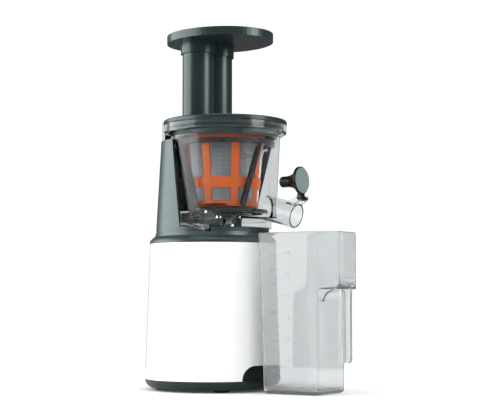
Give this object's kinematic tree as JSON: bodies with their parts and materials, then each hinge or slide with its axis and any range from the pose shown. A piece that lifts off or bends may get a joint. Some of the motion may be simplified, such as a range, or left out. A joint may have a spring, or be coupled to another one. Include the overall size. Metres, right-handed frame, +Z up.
{
  "type": "vertical slow juicer",
  "caption": "Upright single-auger slow juicer with a clear bowl, strainer and wiper cage, feed tube with tray, flip-capped spout, geared motor base and a serving jug.",
  "frame": {"origin": "the drive axis where it meets the counter; the feet stand on z = 0", "axes": "+Z up along the drive axis, -Y to the front where the spout and the jug are, +X to the right seen from the front"},
  "size_m": [0.1656, 0.2668, 0.423],
  "materials": {
    "white_shell": "glossy moulded white plastic",
    "dark_plastic": "satin dark grey plastic",
    "lid_plastic": "satin grey-green plastic",
    "black_plastic": "black plastic",
    "light_grey_plastic": "light grey plastic",
    "natural_nylon": "off-white gear nylon",
    "rubber_black": "soft black rubber",
    "silicone_grey": "translucent grey silicone",
    "steel": "turned steel",
    "cast_alloy": "die-cast alloy",
    "laminations": "stacked laminations",
    "copper": "enamelled copper wire",
    "orange_plastic": "orange plastic",
    "steel_mesh": "fine perforated steel",
    "clear_plastic": "clear moulded plastic",
    "black_resin": "dense black resin"
  },
  "bodies": {
    "base": {"base_housing": "white_shell", "base_plate": "dark_plastic", "arch_panel": "black_plastic", "rubber_feet": "rubber_black", "base_screws": "steel", "upper_housing": "dark_plastic", "column_liner": "black_plastic", "latch_post": "light_grey_plastic", "stator_core": "laminations", "stator_windings": "copper", "motor_lower_cap": "cast_alloy", "gearbox_plate": "cast_alloy", "gearbox_spacers": "steel", "gearbox_cover": "cast_alloy", "gearbox_screws": "steel", "motor_bearings": "steel", "output_bearing": "steel", "intermediate_axle": "steel", "shaft_seal": "rubber_black", "run_capacitor": "natural_nylon", "switch_bezel": "black_plastic", "switch_pin": "steel", "microswitch": "black_plastic", "cord_gland": "rubber_black"},
    "rotor": {"rotor_core": "laminations", "rotor_shaft": "steel", "rotor_pinion": "steel", "cooling_fan": "black_plastic"},
    "intermediate": {"first_gear": "natural_nylon", "second_pinion": "steel"},
    "output": {"output_gear": "natural_nylon", "drive_spindle": "steel"},
    "rocker": {"switch_rocker": "black_plastic"},
    "plunger": {"interlock_plunger": "natural_nylon", "plunger_spring": "steel"},
    "serving_jug": {"jug": "clear_plastic"},
    "bowl": {"juicing_bowl": "clear_plastic", "bowl_bottom_seal": "silicone_grey", "idler_pin": "steel", "cap_hinge_pin": "black_plastic"},
    "cap": {"drip_cap": "lid_plastic", "cap_seal": "silicone_grey"},
    "wiper": {"wiper_cage": "black_plastic", "wiper_blades": "rubber_black"},
    "idler": {"idler_gear": "natural_nylon"},
    "strainer": {"strainer_frame": "orange_plastic", "strainer_mesh": "steel_mesh"},
    "auger": {"auger_screw": "black_resin", "auger_gear": "black_resin"},
    "lid_group": {"lid": "lid_plastic", "lid_bush": "natural_nylon", "lid_seal": "rubber_black", "lid_tab": "black_plastic"},
    "tray": {"food_tray": "lid_plastic"}
  },
  "joints": [
    {"name": "output_spin", "type": "hinge", "parent": "base", "child": "output", "pos_m": [0, 0, 0.12], "axis": [0, 0, 1], "continuous": true},
    {"name": "intermediate_spin", "type": "hinge", "parent": "base", "child": "intermediate", "pos_m": [0, 0.04, 0.115], "axis": [0, 0, 1], "continuous": true},
    {"name": "rotor_spin", "type": "hinge", "parent": "base", "child": "rotor", "pos_m": [0, 0, 0.06], "axis": [0, 0, 1], "continuous": true},
    {"name": "power_rocker", "type": "hinge", "parent": "base", "child": "rocker", "pos_m": [0.077, 0.018, 0.057], "axis": [0, 1, 0], "range_deg": [-9, 9]},
    {"name": "interlock_press", "type": "slide", "parent": "base", "child": "plunger", "axis": [0, 0, 1], "range_m": [-0.0025, 0], "stiffness_N_per_m": 120},
    {"name": "jug_slide", "type": "slide", "parent": "base", "child": "serving_jug", "axis": [0, -1, 0], "range_m": [0, 0.15]},
    {"name": "bowl_lift", "type": "slide", "parent": "base", "child": "bowl", "axis": [0, 0, 1], "range_m": [0, 0.13]},
    {"name": "cap_flip", "type": "hinge", "parent": "bowl", "child": "cap", "pos_m": [0, -0.10646, 0.22154], "axis": [1, 0, 0], "range_deg": [0, 197]},
    {"name": "wiper_spin", "type": "hinge", "parent": "bowl", "child": "wiper", "pos_m": [0, 0, 0.21], "axis": [0, 0, 1], "continuous": true},
    {"name": "idler_spin", "type": "hinge", "parent": "bowl", "child": "idler", "pos_m": [0.02, 0, 0.21], "axis": [0, 0, 1], "continuous": true},
    {"name": "strainer_lift", "type": "slide", "parent": "bowl", "child": "strainer", "axis": [0, 0, 1], "range_m": [0, 0.125]},
    {"name": "auger_spin", "type": "hinge", "parent": "strainer", "child": "auger", "pos_m": [0, 0, 0.25], "axis": [0, 0, 1], "continuous": true},
    {"name": "lid_lift", "type": "slide", "parent": "strainer", "child": "lid_group", "axis": [0, 0, 1], "range_m": [0, 0.115]},
    {"name": "tray_lift", "type": "slide", "parent": "lid_group", "child": "tray", "axis": [0, 0, 1], "range_m": [0, 0.03]}
  ],
  "couplings": [
    {"joint": "intermediate_spin", "follows": "output_spin", "ratio": -3.9231},
    {"joint": "rotor_spin", "follows": "output_spin", "ratio": 28.769},
    {"joint": "auger_spin", "follows": "output_spin", "ratio": 1},
    {"joint": "idler_spin", "follows": "output_spin", "ratio": -1.6667},
    {"joint": "wiper_spin", "follows": "output_spin", "ratio": -0.45454}
  ]
}
